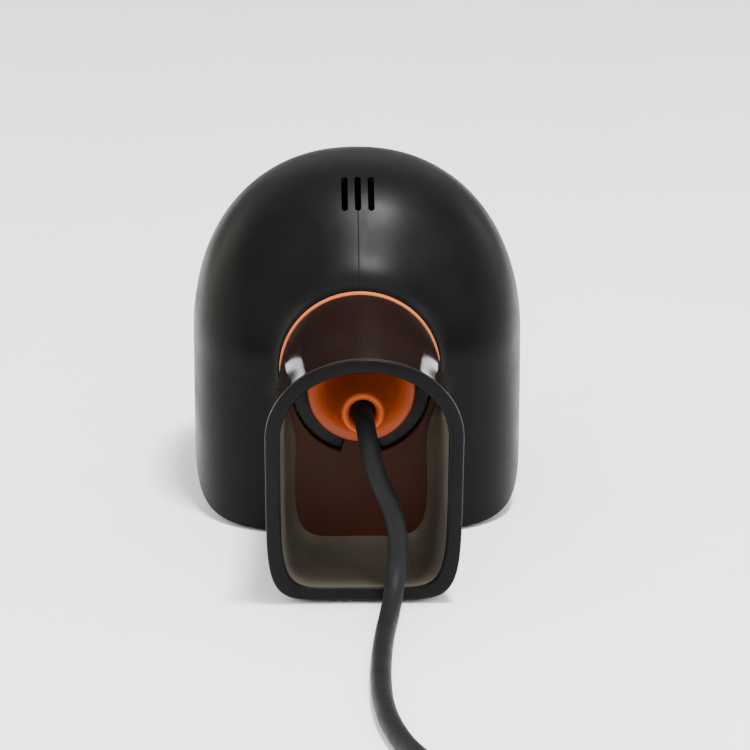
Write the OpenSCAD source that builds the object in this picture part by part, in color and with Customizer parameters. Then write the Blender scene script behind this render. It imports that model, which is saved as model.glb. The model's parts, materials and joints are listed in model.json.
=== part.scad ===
// Hands-free presentation barcode scanner with a helmet-shaped head,
// a swivelling smoky tail hood and an orange cable outlet.
// Millimetres. +Z up, +Y out of the scan window, tail towards -Y.
// Origin: on the resting plane, below the middle of the body (cable left out).

/* [Head] */
// Width of the head
head_w = 85; // [83:0.5:87]
// Height of the head
head_h = 90.5; // [89:0.5:93]
// Length from the tip of the hood to the chin
total_l = 143; // [141:0.5:147]
// Wall of the head's two mouldings
shell_t = 2.2; // [1.8:0.1:2.4]
// Lean of the window, in degrees
window_tilt = 7; // [4:0.5:9]
// Width of one sound slot
vent_w = 1.6; // [1.2:0.1:1.8]

/* [Neck and hood] */
// Height of the neck's axis
neck_z = 45; // [44.5:0.5:46]
// Radius of the head's collar
collar_r = 20.4; // [20.2:0.1:21]
// Radius of the coloured ring
ring_r = 20.1; // [20:0.1:20.2]
// Radius of the hood where it meets the ring
hood_r = 19.8; // [19.6:0.1:20]
// Half the width of the hood's mouth
mouth_half_w = 23.4; // [22:0.2:24]
// Length from the ring to the tip of the hood
tail_l = 57.5; // [56:0.5:59]
// How far the hood's mouth leans out from bottom to top
mouth_lean = 14; // [12:0.5:15]
// How far the hood's lip flares at its mouth
hood_flare = 1.3; // [0.8:0.1:1.6]
// Wall of the hood at its mouth
hood_t = 3.6; // [3.2:0.1:3.8]
// Wall of the hood near the neck
heel_t = 1.7; // [1.6:0.1:1.8]
// Length of the neck from the ring to the plate that the hood turns on
neck_l = 11; // [9:0.5:12]
// Length of the cable outlet's cone
cone_l = 20; // [18:0.5:21]

/* [Cable] */
// Diameter of the cable
cable_d = 4.8; // [4.6:0.1:4.9]
// Turns side by side in the stored coil
coil_columns = 5; // [5:1:5]
// Mean radius of the stored coil
coil_r = 27; // [26.5:0.5:27.5]

/* [Inside] */
// Radius of the mirror wheel, to its corners
wheel_r = 15; // [13:0.5:16]
// Facets of the mirror wheel
wheel_facets = 6; // [4:1:8]
// Radius of the motor shaft
shaft_r = 1.5; // [1.2:0.1:1.8]

/* [Hidden] */

foot_h = 0.8;                          // height of the rubber feet and pads
half_w = head_w / 2;
top_r = head_h - neck_z;               // neck axis to the top of the head
base_r = neck_z - foot_h;              // neck axis to the underside
tip_y = -total_l / 2;
ring_y = tip_y + tail_l;               // rear face of the coloured ring
ring_w = 1.9;
collar_y = ring_y + ring_w;            // rear end of the head
waist_y = 23;                          // where the head reaches its full width
crown_y = 28;                          // where the head is highest
split_y = 40;                          // joint between the two head mouldings
face_y = total_l / 2 - 4.9;            // middle of the front face
slit = 0.3;                            // gap between bodies that move
rest_gap = 0.05;                       // gap between fixed neighbours

// ---------- helpers ----------

function mix(a, b, t) = a + (b - a) * t;
function bezier(t, a, b, c, d) =
  pow(1 - t, 3) * a + 3 * pow(1 - t, 2) * t * b + 3 * (1 - t) * t * t * c + pow(t, 3) * d;
function ease(t) = t * t * (3 - 2 * t);

// Radius at angle a of an outline that is round on top and squarer below
function outline_r(a, half, up, down, square, arch = 2) =
  let (n = sin(a) >= 0 ? arch : square,
       tall = sin(a) >= 0 ? up : down)
  pow(pow(abs(cos(a)) / half, n) + pow(abs(sin(a)) / tall, n), -1 / n);

// Angles of the points round a lofted section, closer together at the lower corners
round_angles = [
  for (arc = [[0, 180, 36], [180, 222, 6], [222, 250, 9], [250, 290, 6], [290, 318, 9], [318, 360, 6]])
    for (i = [0 : arc[2] - 1]) mix(arc[0], arc[1], i / arc[2])];
function round_row(fn) = [for (a = round_angles) fn(a)];

// Points of such an outline, moved in by inset
function outline_pts(half, up, down, square, inset = 0) =
  [for (a = round_angles)
    let (r = outline_r(a, half, up, down, square) - inset)
    [r * cos(a), r * sin(a)]];

// A closed ring of sections: each row is a list of points, and the last row
// joins the first one
module ring_loft(rows) {
  m = len(rows);
  n = len(rows[0]);
  pts = [for (row = rows) each row];
  faces = [for (i = [0 : m - 1], j = [0 : n - 1])
    let (i2 = (i + 1) % m, j2 = (j + 1) % n)
    each [[i * n + j, i2 * n + j, i2 * n + j2], [i * n + j, i2 * n + j2, i * n + j2]]];
  polyhedron(points = pts, faces = faces, convexity = 8);
}

// A round tube swept along points, with flat ends
function unit(v) = v / norm(v);
function heading(p, i) = unit(p[min(i + 1, len(p) - 1)] - p[max(i - 1, 0)]);
function ring_at(p, i, r, n) =
  let (d = heading(p, i),
       side = unit(cross(d, abs(d.z) < 0.9 ? [0, 0, 1] : [0, 1, 0])),
       up = cross(side, d))
  [for (k = [0 : n - 1]) p[i] + r * (cos(360 * k / n) * side + sin(360 * k / n) * up)];
module tube(p, r, n = 10) {
  m = len(p);
  pts = [for (i = [0 : m - 1]) each ring_at(p, i, r, n)];
  walls = [for (i = [0 : m - 2], j = [0 : n - 1])
    let (j2 = (j + 1) % n)
    each [[i * n + j, i * n + j2, (i + 1) * n + j2], [i * n + j, (i + 1) * n + j2, (i + 1) * n + j]]];
  ends = [[for (j = [n - 1 : -1 : 0]) j], [for (j = [0 : n - 1]) (m - 1) * n + j]];
  polyhedron(points = pts, faces = concat(walls, ends), convexity = 6);
}

// Turns a solid about Z into one about the neck axis: its z becomes -y
module on_neck(y = 0) {
  translate([0, y, neck_z]) rotate([90, 0, 0]) children();
}

// The front face's own frame: x across, y out of the face, z up the face
module on_face() {
  translate([0, face_y, neck_z]) rotate([window_tilt, 0, 0]) children();
}

// Extrudes a face-plane outline between depths a and b (negative is inward)
module face_slab(a, b) {
  on_face() translate([0, b, 0]) rotate([90, 0, 0]) linear_extrude(b - a) children();
}

module ring_solid(r_out, r_in, h) {
  difference() {
    cylinder(r = r_out, h = h, $fn = 64);
    translate([0, 0, -1]) cylinder(r = r_in, h = h + 2, $fn = 64);
  }
}

module pill(length, width) {
  hull() {
    translate([(length - width) / 2, 0]) circle(d = width, $fn = 32);
    translate([-(length - width) / 2, 0]) circle(d = width, $fn = 32);
  }
}

// ---------- head mouldings ----------

footprint_y = -11.5;                   // rear of the footprint, on the centre line
foot_square = 2.75;
// Rear edge of the footprint at a distance x from the centre line
function foot_y(x) =
  waist_y - (waist_y - footprint_y) * pow(max(0, 1 - pow(min(1, x / half_w), foot_square)), 1 / foot_square);

head_square = 9;
head_arch = 2.15;
function head_r(a) = outline_r(a, half_w, top_r, base_r, head_square, head_arch);

// Where the back of the head reaches full size, for each angle about the neck
function crown_share(a) = ease(max(0, sin(a)));
function full_y(a) =
  sin(a) >= 0 ? mix(waist_y, crown_y, crown_share(a)) :
  sin(a) >= -0.5 ? waist_y : foot_y(min(half_w, base_r * abs(cos(a) / sin(a))));

// The front of the head draws in: radius at angle a for a place y ahead of full size
nose_top = 13;
nose_side = 4;
function nose_r(a, y) =
  let (from = full_y(a),
       q = max(0, (y - from) / (face_y - from)),
       fade = ease(min(1, max(0, (sin(a) + 0.75) / 0.5))))
  head_r(a) - mix(nose_side, nose_top, crown_share(a)) * fade * q * q;

// Back surface in the (y, r) plane: t runs from the collar to full size. The upper half
// is domed, and the lower half stands upright over its footprint
fillet_share = 0.3;
function dome_y(a, t) =
  let (rise = crown_share(a),
       y1 = sin(a) >= 0 ? full_y(a) : waist_y,
       span = y1 - collar_y,
       first = collar_y + span * mix(0.16, 0.34, rise),
       second = collar_y + span * mix(0.04, 0.40, rise))
  bezier(t, collar_y, first, second, y1);
function wall_y(a, t, r) = mix(collar_y, foot_y(r * abs(cos(a))), ease(min(1, t / fillet_share)));
function back_yr(a, t) =
  let (r = mix(collar_r, head_r(a), ease(t)), low = ease(min(1, max(0, -sin(a) / 0.3))))
  [mix(dome_y(a, t), wall_y(a, t, r), low), r];

// The same surface moved inward by depth
function inner_yr(a, t, depth) =
  let (p = back_yr(a, t),
       q = back_yr(a, min(1, t + 0.01)) - back_yr(a, max(0, t - 0.01)),
       n = norm(q))
  [p[0] + depth * q[1] / n, p[1] - depth * q[0] / n];

function polar_pt(a, y, r) = [r * cos(a), y, neck_z + r * sin(a)];

back_steps = 14;
module rear_loft() {
  outer = [for (k = [0 : back_steps])
    round_row(function (a) let (p = back_yr(a, k / back_steps)) polar_pt(a, p[0], p[1]))];
  inner = [for (k = [back_steps : -1 : 0])
    round_row(function (a) let (p = inner_yr(a, k / back_steps, shell_t)) polar_pt(a, p[0], p[1]))];
  joint = [for (p = [[34, 0], [split_y, 0], [split_y, shell_t], [34, shell_t]])
    round_row(function (a) polar_pt(a, p[0], nose_r(a, p[0]) - p[1]))];
  ring_loft(concat(outer, joint, inner));
}

vent_y = 11.6;
vent_z = 83.2;
vent_l = 10.6;
vent_pitch = 3.35;
vent_slope = 47;
module vents() {
  for (k = [-1 : 1])
    translate([k * vent_pitch, vent_y, vent_z]) rotate([vent_slope, 0, 0])
      translate([0, 0, -8]) linear_extrude(14)
        union() {
          square([vent_w, vent_l - vent_w], center = true);
          for (s = [-1, 1]) translate([0, s * (vent_l - vent_w) / 2]) circle(d = vent_w, $fn = 24);
        }
}

screw_x = 20;
screw_ys = [14, 46];
screw_r = 1.5;
module screw_places(ys) {
  for (s = [-1, 1], y = ys) translate([s * screw_x, y, 0]) children();
}
module screw_hole() {
  translate([0, 0, -1]) cylinder(r = screw_r + 0.2, h = 8, $fn = 32);
  translate([0, 0, -1]) cylinder(r = 3, h = 2.6 + foot_h - 0.6, $fn = 32);
}

module rear_shell() {
  color("#17171a")
    difference() {
      rear_loft();
      vents();
      screw_places([screw_ys[0]]) screw_hole();
    }
}

window_half = 31;
window_up = 25;
window_down = 31;
window_square = 5;
function window_r(a) = outline_r(a, window_half, window_up, window_down, window_square);

// Point of the front moulding: r from the axis, n out of the face, b the share of the lean
function face_pt(a, r, n, b) =
  let (v = r * sin(a), lean = window_tilt * b)
  [r * cos(a), face_y - v * sin(lean) + n * cos(lean),
   max(foot_h, neck_z + v * cos(lean) + n * sin(lean))];

// Front moulding's section: [share of the way from outline to window, depth, lean, inset]
bezel_depth = face_y - split_y;
bezel_outer = [
  [0, -bezel_depth, 0, 0], [0, -20, 0.2, 0.1], [0, -14, 0.5, 0.5], [0, -9.5, 0.8, 1.3],
  [0, -6, 1, 2.2], [0, -3.2, 1, 3.6], [0, -1.3, 1, 5.2], [0.3, -0.3, 1, 4.4], [0.75, -0.1, 1, 1.4],
  [1, -0.9, 1, 0]];
bezel_inner = [
  [1, -4.8, 1, 0], [0.5, -5.6, 1, 3.6], [0, -8, 1, 5.4], [0, -12, 0.6, 3],
  [0, -17, 0.3, 2.2], [0, -bezel_depth, 0, shell_t]];
module front_loft() {
  rows = [for (p = concat(bezel_outer, bezel_inner))
    round_row(function (a) face_pt(a, mix(nose_r(a, face_y + p[1]), window_r(a), p[0]) - p[3], p[1], p[2]))];
  ring_loft(rows);
}

lens_z = 27.6;                         // up the face from its middle
button_z = -36.6;
button_l = 13;
button_w = 4.4;
module front_bezel() {
  color("#1b1b1f")
    difference() {
      front_loft();
      face_slab(-12, 4) translate([0, lens_z]) pill(9.2, 2.6);
      face_slab(-14, 4) translate([0, button_z]) pill(button_l + 2 * slit, button_w + 2 * slit);
      screw_places([screw_ys[1]]) screw_hole();
    }
}

module scan_window() {
  color("#3a0f10", 0.6)
    face_slab(-3.2, -1.4) polygon(outline_pts(window_half, window_up, window_down, window_square, 0.25));
}

module window_seal() {
  color("#101012")
    face_slab(-4.1, -3.25)
      difference() {
        polygon(outline_pts(window_half, window_up, window_down, window_square, 0.3));
        polygon(outline_pts(window_half, window_up, window_down, window_square, 2.6));
      }
}

module status_lens() {
  color("#dfe6ea", 0.8) face_slab(-4.6, -0.25) translate([0, lens_z]) pill(9, 2.4);
}

button_travel = 0.7;
module mode_button() {
  color("#2a2a2e") {
    face_slab(-4.6, 0.2) translate([0, button_z]) pill(button_l, button_w);
  }
}

module button_switch() {
  color("#c9ccd0") {
    face_slab(-10.2, -6.9) translate([0, button_z]) square([4.2, 3.6], center = true);
    face_slab(-6.9, -4.6 - button_travel - 0.05) translate([0, button_z]) circle(r = 1.1, $fn = 24);
  }
}

module button_board() {
  color("#1f5b35") face_slab(-11.6, -10.25) translate([0, button_z]) square([18, 4.6], center = true);
}

// ---------- base ----------

module base_feet() {
  color("#2b2b2b")
    for (s = [-1, 1], y = [3, 56])
      translate([s * (y < 30 ? 24 : 25), y, 0]) cylinder(r = 4.5, h = foot_h, $fn = 48);
}

floor_z = foot_h + shell_t;
screw_head_t = 0.85;
module base_screws() {
  color("#b9bcc0")
    screw_places(screw_ys) {
      difference() {
        translate([0, 0, foot_h + 0.1]) cylinder(r = 2.7, h = screw_head_t, $fn = 48);
        translate([0, 0, foot_h - 0.5]) cylinder(r = 1.2, h = 1.1, $fn = 6);
      }
      translate([0, 0, foot_h + 0.05 + screw_head_t]) cylinder(r = screw_r, h = 7.4, $fn = 48);
    }
}

ballast_h = 6;
module ballast_plate() {
  color("#8d9196")
    difference() {
      translate([-27, 2, floor_z + 0.1]) cube([54, 48, ballast_h]);
      screw_places(screw_ys) translate([0, 0, -1]) cylinder(r = screw_r, h = 20, $fn = 48);
      translate([0, 31, 0]) cylinder(r = 7.5, h = 20, $fn = 64);
    }
}

// ---------- optics ----------

carrier_y = 12;
carrier_t = 2;
deck_y = carrier_y + carrier_t;        // front of the carrier's plate
mirror_angles = [30, 90, 150, 210, 330];
mirror_r = 28;
mirror_w = 18;
mirror_l = 15;
mirror_t = 1.5;
mirror_lean = 48;
rib_gap = 6;
rib_t = 2;

// Local frame of one mirror: x across, y along the mirror's slope, z out of its face
module mirror_place(a) {
  translate([0, deck_y, neck_z]) rotate([0, -a, 0]) translate([mirror_r, 9, 0])
    rotate([0, 0, 90 + mirror_lean]) rotate([0, 90, 0]) children();
}

module pattern_mirrors() {
  color("#cfd6dc")
    for (a = mirror_angles)
      mirror_place(a) translate([-mirror_w / 2, -mirror_l / 2, -mirror_t])
        cube([mirror_w, mirror_l, mirror_t]);
}

module optics_carrier() {
  color("#2d2d31") {
    on_neck(deck_y)
      difference() {
        linear_extrude(carrier_t) polygon(outline_pts(33, 30, 33, 3));
        translate([0, 0, -1]) cylinder(r = 4.5, h = carrier_t + 2, $fn = 48);
      }
    for (a = mirror_angles)
      translate([0, deck_y, neck_z]) rotate([0, -a, 0])
        for (s = [-1, 1])
          translate([0, 0, s * rib_gap - rib_t / 2]) linear_extrude(rib_t)
            polygon([[24, -0.02], [30, -0.02], [30, 8.9], [24, 2.25]]);
  }
}

laser_y = 31;
holder_z = 11;
module laser_holder() {
  color("#3b3b40")
    difference() {
      translate([-5.5, deck_y + rest_gap, holder_z]) cube([11, 23, 6]);
      translate([0, laser_y, 0]) cylinder(r = 4.05, h = 40, $fn = 64);
    }
}

module laser_barrel() {
  color("#b08d45")
    difference() {
      translate([0, laser_y, 9.2]) cylinder(r = 4, h = 12, $fn = 64);
      translate([0, laser_y, 18]) cylinder(r = 2.6, h = 9, $fn = 48);
    }
}

module laser_lens() {
  color("#d8eef2", 0.6) translate([0, laser_y, 18.2]) cylinder(r = 2.55, h = 1.6, $fn = 48);
}

module collector_mirror() {
  color("#e3e7ea")
    translate([0, laser_y, holder_z + 6 + rest_gap])
      rotate_extrude($fn = 72)
        polygon([[4.3, 0], [8.5, 0], [11.5, 1.4], [11.5, 4.2], [8.5, 2.6], [6, 1.8], [4.3, 1.6]]);
}

detector_x = 16.5;
detector_z = 71;
module detector_board() {
  color("#1f5b35") translate([-detector_x - 5, deck_y + rest_gap, detector_z - 5]) cube([10, 1.4, 10]);
}

module detector_lens() {
  color("#7a1418", 0.8)
    translate([-detector_x, deck_y + 6, detector_z]) rotate([90, 0, 0]) cylinder(r = 3.2, h = 4.5, $fn = 48);
}

// ---------- motor and wheel, about the neck's axis line ----------

module motor_board() {
  color("#1f5b35")
    on_neck(deck_y + rest_gap + 1.2) ring_solid(15, 2.2, 1.2);
}

stator_y = deck_y + 1.3;
module motor_stator() {
  color("#b5763a")
    on_neck(stator_y + 6)
      difference() {
        union() {
          cylinder(r = 6, h = 6, $fn = 64);
          for (k = [0 : 5]) rotate([0, 0, 60 * k]) translate([0, -1.6, 0.8]) cube([9, 3.2, 4.4]);
        }
        translate([0, 0, -1]) cylinder(r = 3.6, h = 8, $fn = 48);
      }
}

module motor_bearing() {
  color("#c8a35a") on_neck(stator_y + 7) ring_solid(3.55, shaft_r + 0.03, 7);
}

shaft_end_y = 40;
module motor_shaft() {
  color("#dadde0") on_neck(shaft_end_y) cylinder(r = shaft_r, h = shaft_end_y - deck_y + 1, $fn = 48);
}

bell_y = stator_y + 7.4;
module rotor_bell() {
  color("#9b9ea3")
    on_neck(bell_y + 1.6)
      difference() {
        union() {
          cylinder(r = 11.4, h = 7.4, $fn = 72);
          translate([0, 0, -1.9]) cylinder(r = 3.4, h = 3, $fn = 48);
        }
        translate([0, 0, 1.6]) cylinder(r = 10.2, h = 8, $fn = 72);
        translate([0, 0, -5]) cylinder(r = shaft_r, h = 20, $fn = 48);
      }
}

wheel_y = bell_y + 1.65;
wheel_h = 11;
module mirror_wheel() {
  color("#eef1f4")
    on_neck(wheel_y + wheel_h)
      difference() {
        cylinder(r = wheel_r, h = wheel_h, $fn = wheel_facets);
        translate([0, 0, -1]) cylinder(r = shaft_r, h = wheel_h + 2, $fn = 48);
        translate([0, 0, wheel_h - 2]) cylinder(r = 3.45, h = 4, $fn = 48);
      }
}

// ---------- electronics ----------

board_y = 5.6;
board_t = 1.6;
module main_board() {
  color("#1f5b35")
    difference() {
      translate([-25, board_y, 16]) cube([50, board_t, 48]);
      for (s = [-1, 1], z = [20, 60])
        translate([s * 21, board_y + 4, z]) rotate([90, 0, 0]) cylinder(r = 1.6, h = 8, $fn = 32);
    }
}

module board_chips() {
  color("#222226") {
    translate([-8, board_y + board_t + rest_gap, 38]) cube([14, 1.4, 14]);
    translate([-20, board_y + board_t + rest_gap, 24]) cube([8, 1.2, 10]);
    translate([9, board_y + board_t + rest_gap, 22]) cube([9, 2.4, 9]);
    translate([11, board_y + board_t + rest_gap, 44]) cube([6, 1.2, 8]);
  }
}

buzzer_z = 73;
module buzzer() {
  color("#1a1a1a")
    difference() {
      translate([0, carrier_y - rest_gap, buzzer_z]) rotate([90, 0, 0]) cylinder(r = 4.4, h = 3.6, $fn = 64);
      translate([0, carrier_y - 2, buzzer_z]) rotate([90, 0, 0]) cylinder(r = 0.8, h = 4, $fn = 24);
    }
}

socket_y = 0.5;
module cable_socket() {
  color("#e8e4d8")
    difference() {
      translate([-7, socket_y, neck_z - 4]) cube([14, board_y - socket_y - rest_gap, 8]);
      translate([0, socket_y + 1.5, neck_z]) rotate([90, 0, 0]) cylinder(r = cable_d / 2 + 0.05, h = 6, $fn = 48);
    }
}

// ---------- neck ----------

spigot_l = 6;
spigot_r = collar_r - shell_t - 0.1;
shoulder_r = 16.8;
shoulder_y = ring_y - neck_l;          // where the hood's plate stops
hub_r = 12.2;
plate_t = 2;
plate_y = shoulder_y - 0.8;            // front face of the hood's plate
hub_end_y = plate_y - plate_t - 0.1;
bore_r = 3.2;
neck_screw_r = 9.5;

module neck_core() {
  color("#e0702a")
    difference() {
      union() {
        on_neck(collar_y) cylinder(r = ring_r, h = ring_w, $fn = 96);
        on_neck(collar_y + spigot_l) cylinder(r = spigot_r, h = spigot_l + 1, $fn = 96);
        on_neck(ring_y + 0.1) cylinder(r = shoulder_r, h = ring_y - shoulder_y + 0.1, $fn = 96);
        on_neck(ring_y) cylinder(r = hub_r, h = ring_y - hub_end_y, $fn = 96);
      }
      on_neck(collar_y + spigot_l + 1) cylinder(r = spigot_r - 2.4, h = spigot_l + 1, $fn = 96);
      on_neck(30) cylinder(r = bore_r, h = 80, $fn = 48);
      for (a = [0, 180])
        on_neck(hub_end_y + 9) rotate([0, 0, a]) translate([neck_screw_r, 0, 0]) cylinder(r = 1, h = 12, $fn = 24);
    }
}

module neck_screws() {
  color("#b9bcc0")
    for (a = [0, 180])
      on_neck(hub_end_y + 7) rotate([0, 0, a]) translate([neck_screw_r, 0, 0]) {
        cylinder(r = 1, h = 7, $fn = 24);
        translate([0, 0, -0.02]) cylinder(r = 1, h = 8, $fn = 24);
      }
}

module friction_washer() {
  color("#151517") on_neck(shoulder_y - rest_gap) ring_solid(shoulder_r, hub_r + 0.15, 0.7);
}

flange_t = 1.9;
flange_r = 13.2;
flange_y = hub_end_y - rest_gap;
cone_y = flange_y - cone_l;
module cable_outlet() {
  color("#e8741c")
    difference() {
      on_neck(flange_y)
        rotate_extrude($fn = 96)
          polygon([
            [0, 0], [flange_r - 0.3, 0], [flange_r, 0.3], [flange_r, flange_t - 0.4],
            [flange_r - 0.4, flange_t], [11, flange_t], [10, 2.2], [9.2, 2.9], [8.6, 4],
            [8.1, 5.6], [7.4, 8.4], [6.6, 12], [6, 15], [5.6, cone_l - 2],
            [5.3, cone_l - 0.8], [4.4, cone_l], [0, cone_l]]);
      on_neck(flange_y + 1) cylinder(r = bore_r, h = cone_l + 3, $fn = 48);
      for (a = [0, 180])
        on_neck(flange_y + 1) rotate([0, 0, a]) translate([neck_screw_r, 0, 0]) cylinder(r = 1, h = 2, $fn = 24);
    }
}

clamp_y = collar_y + 1.2;
module cable_clamp() {
  color("#2d2d31")
    difference() {
      translate([-9, clamp_y, neck_z - 7]) cube([18, 4, 14]);
      translate([0, clamp_y + 6, neck_z]) rotate([90, 0, 0]) cylinder(r = cable_d / 2 + 0.05, h = 10, $fn = 48);
    }
}

cable_start_y = flange_y - 3;
module inner_cable() {
  color("#1a1a1c")
    on_neck(socket_y + 1.4) cylinder(r = cable_d / 2, h = socket_y + 1.4 - cable_start_y, $fn = 48);
}

// ---------- hood ----------

mouth_up = hood_r + hood_flare;
hood_y = ring_y - slit;                // front end of the hood
mouth_slope = mouth_lean / (mouth_up + base_r);
mouth_y = tip_y + mouth_up * mouth_slope;
heel = 0.11;                           // share of the length taken by the upright heel

// Radius of the hood at angle a, for a share s of its length, moved in by inset
function hood_section_r(a, s, inset) =
  let (u = min(1, s / heel),
       drop = sqrt(max(0, 1 - (1 - u) * (1 - u))),
       flare = hood_flare * pow(s, 5),
       square = mix(2, 7, min(1, s * 3)))
  outline_r(a, mix(hood_r, mouth_half_w - hood_flare, s) + flare - inset, hood_r + flare - inset,
            mix(hood_r, base_r, drop) - inset, square);
function hood_pt(a, s, inset, shift = 0) =
  let (r = hood_section_r(a, s, inset),
       y = mix(hood_y, mouth_y, s) - r * sin(a) * mouth_slope * s)
  [r * cos(a), y + shift, neck_z + r * sin(a)];

function wall_at(s) = mix(heel_t, hood_t, ease(max(0, (s - 0.3) / 0.7)));
hood_steps = [0, 0.006, 0.02, 0.045, 0.075, 0.11, 0.18, 0.3, 0.45, 0.6, 0.75, 0.88, 0.985];
module hood_skin() {
  outer = [for (s = hood_steps) round_row(function (a) hood_pt(a, s, 0))];
  lip = [round_row(function (a) hood_pt(a, 1, 0.5)), round_row(function (a) hood_pt(a, 1, hood_t - 0.5))];
  inner = [for (k = [len(hood_steps) - 1 : -1 : 0])
    let (s = hood_steps[k])
    round_row(function (a) hood_pt(a, s, wall_at(s), -heel_t * min(1, s / heel) * (1 - s)))];
  ring_loft(concat(outer, lip, inner));
}

module hood() {
  color("#2b2220", 0.85) hood_skin();
}

plate_share = (hood_y - plate_y) / (hood_y - mouth_y);
module hood_plate_outline(inset) {
  polygon([for (a = round_angles)
    let (r = hood_section_r(a, plate_share, heel_t) - inset) [r * cos(a), r * sin(a)]]);
}

slot_r = 17.2;
tab_half = 17;
module hood_plate() {
  color("#33231c", 0.85)
    translate([0, plate_y, neck_z]) rotate([90, 0, 0])
      difference() {
        linear_extrude(plate_t) hood_plate_outline(0.15);
        difference() {
          translate([0, 0, -1]) cylinder(r = slot_r, h = plate_t + 2, $fn = 96);
          for (a = [90, 270])
            rotate([0, 0, a - tab_half]) translate([0, 0, -2])
              rotate_extrude(angle = 2 * tab_half, $fn = 96) square([slot_r + 1, plate_t + 4]);
        }
        translate([0, 0, -1]) cylinder(r = hub_r + 0.08, h = plate_t + 2, $fn = 96);
      }
}

module hood_backing() {
  color("#d9661f")
    translate([0, plate_y + 3.1, neck_z]) rotate([90, 0, 0])
      linear_extrude(3)
        difference() {
          translate([-13.5, -37.5]) square([27, 27]);
          circle(r = shoulder_r + 0.8, $fn = 72);
        }
}

module hood_pads() {
  color("#2b2b2b")
    for (s = [-1, 1]) translate([s * 9, mouth_y + base_r * mouth_slope + 8, 0]) cylinder(r = 3, h = foot_h, $fn = 48);
}

// ---------- cable, coil and plug ----------

cable_r = cable_d / 2;
route = [
  [0, cable_start_y, neck_z], [0, -38, neck_z], [0, -44, neck_z], [0, -48.5, neck_z],
  [0.5, -53.4, 43.8], [1.3, -57, 40.2], [2.4, -58.4, 35.4], [4, -58.9, 31], [5.8, -59.1, 27],
  [7.2, -59.2, 23], [7.9, -59.3, 19], [8.1, -59.6, 15], [7.8, -60.8, 10.8], [7.2, -63.6, 7.2],
  [6.5, -67.8, 4.8], [5.6, -73, 3.2], [4.7, -79, 2.5], [3.9, -87, cable_r], [3.2, -97, cable_r],
  [2.8, -108, cable_r], [3, -120, cable_r], [4.4, -132, cable_r], [7.6, -144, cable_r],
  [13, -155.5, cable_r], [19.6, -166, cable_r], [26, -176.5, cable_r], [31.6, -187, cable_r],
  [35.4, -197.6, cable_r], [36.6, -208, cable_r]];
coil_y = -208;
coil_half = coil_columns * cable_d / 2;
module cable() {
  color("#2c2c2e") tube(route, cable_r, 10);
}

coil_round = 1.6;
module cable_coil() {
  color("#2c2c2e")
    translate([0, coil_y, 0])
      rotate_extrude($fn = 96)
        translate([coil_r, cable_d])
          polygon([
            [-coil_half, -cable_d + coil_round], [-coil_half + coil_round, -cable_d],
            [coil_half - coil_round, -cable_d], [coil_half, -cable_d + coil_round],
            [coil_half, cable_d - coil_round], [coil_half - coil_round, cable_d],
            [-coil_half + coil_round, cable_d], [-coil_half, cable_d - coil_round]]);
}

tie_angle = 205;
tie_slack = 0.6;                       // room for the coil's inner curve
module coil_tie() {
  color("#141414")
    translate([0, coil_y, 0]) rotate([0, 0, tie_angle]) translate([coil_r, 0, cable_d])
      difference() {
        translate([-coil_half - tie_slack - 1, -4, -cable_d])
          cube([2 * coil_half + tie_slack + 2, 8, 2 * cable_d + 1]);
        translate([-coil_half - tie_slack, -5, -cable_d - 1])
          cube([2 * coil_half + tie_slack + rest_gap, 10, 2 * cable_d + 1 + rest_gap]);
      }
}

// The end of the lead lies on top of the coil: [angle, radius, height]
tail_turn = [
  [197, 36.6, 7.3], [185, 36.2, 8.2], [173, 35, 9.8], [158, 33.2, 11.4], [142, 31.2, 12],
  [124, 29.4, 12], [106, 28.2, 12], [88, 27.6, 12], [70, 27.2, 12], [52, 27, 12], [34, 27, 12],
  [16, 27.2, 12], [0, 27.8, 12.1], [-15, 28.8, 12.5], [-29, 30, 13], [-42, 31.2, 13.4],
  [-53, 31.8, 13.6]];
plug_x = 12;
plug_y = coil_y - 27.4;
plug_z = 13.7;
tail_route = concat(
  [for (p = tail_turn) [p[1] * cos(p[0]), coil_y + p[1] * sin(p[0]), p[2]]],
  [[16, plug_y + 0.2, plug_z], [14.2, plug_y, plug_z], [plug_x, plug_y, plug_z]]);
module cable_tail() {
  color("#2c2c2e") tube(tail_route, cable_r, 10);
}

boot_l = 9;
plug_l = 24;
plug_w = 15;
plug_h = 8.2;
shell_w = 12;
shell_h = 4.5;
usb_l = 14;
module along_plug(d) {
  translate([plug_x - d, plug_y, plug_z]) rotate([90, 0, -90]) children();
}
module plug_boot() {
  color("#242426") along_plug(0) cylinder(r1 = cable_r + 0.5, r2 = 3.9, h = boot_l, $fn = 48);
}
module plug_body() {
  color("#242426")
    along_plug(boot_l)
      difference() {
        translate([-plug_w / 2, -plug_h / 2, 0]) cube([plug_w, plug_h, plug_l]);
        translate([-shell_w / 2, -shell_h / 2, plug_l - 4]) cube([shell_w, shell_h, 5]);
      }
}
module plug_shell() {
  color("#c6c9cc")
    along_plug(boot_l + plug_l - 4)
      difference() {
        translate([-shell_w / 2, -shell_h / 2, 0]) cube([shell_w, shell_h, usb_l]);
        translate([-shell_w / 2 + 0.4, -shell_h / 2 + 0.4, 1]) cube([shell_w - 0.8, shell_h - 0.8, usb_l]);
        for (s = [-1, 1]) translate([s * 2.8 - 1, 0, usb_l - 7.5]) cube([2, 5, 2.4]);
      }
}
module plug_tongue() {
  color("#e9e9e6")
    along_plug(boot_l + plug_l - 3) translate([-5.4, -1.8, 0]) cube([10.8, 1.7, usb_l - 2]);
}
module plug_contacts() {
  color("#c9a24a")
    along_plug(boot_l + plug_l - 3)
      for (x = [-3.6, -1.1, 1.1, 3.6]) translate([x - 0.5, -0.1, 2]) cube([1, 0.15, usb_l - 5]);
}

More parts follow.
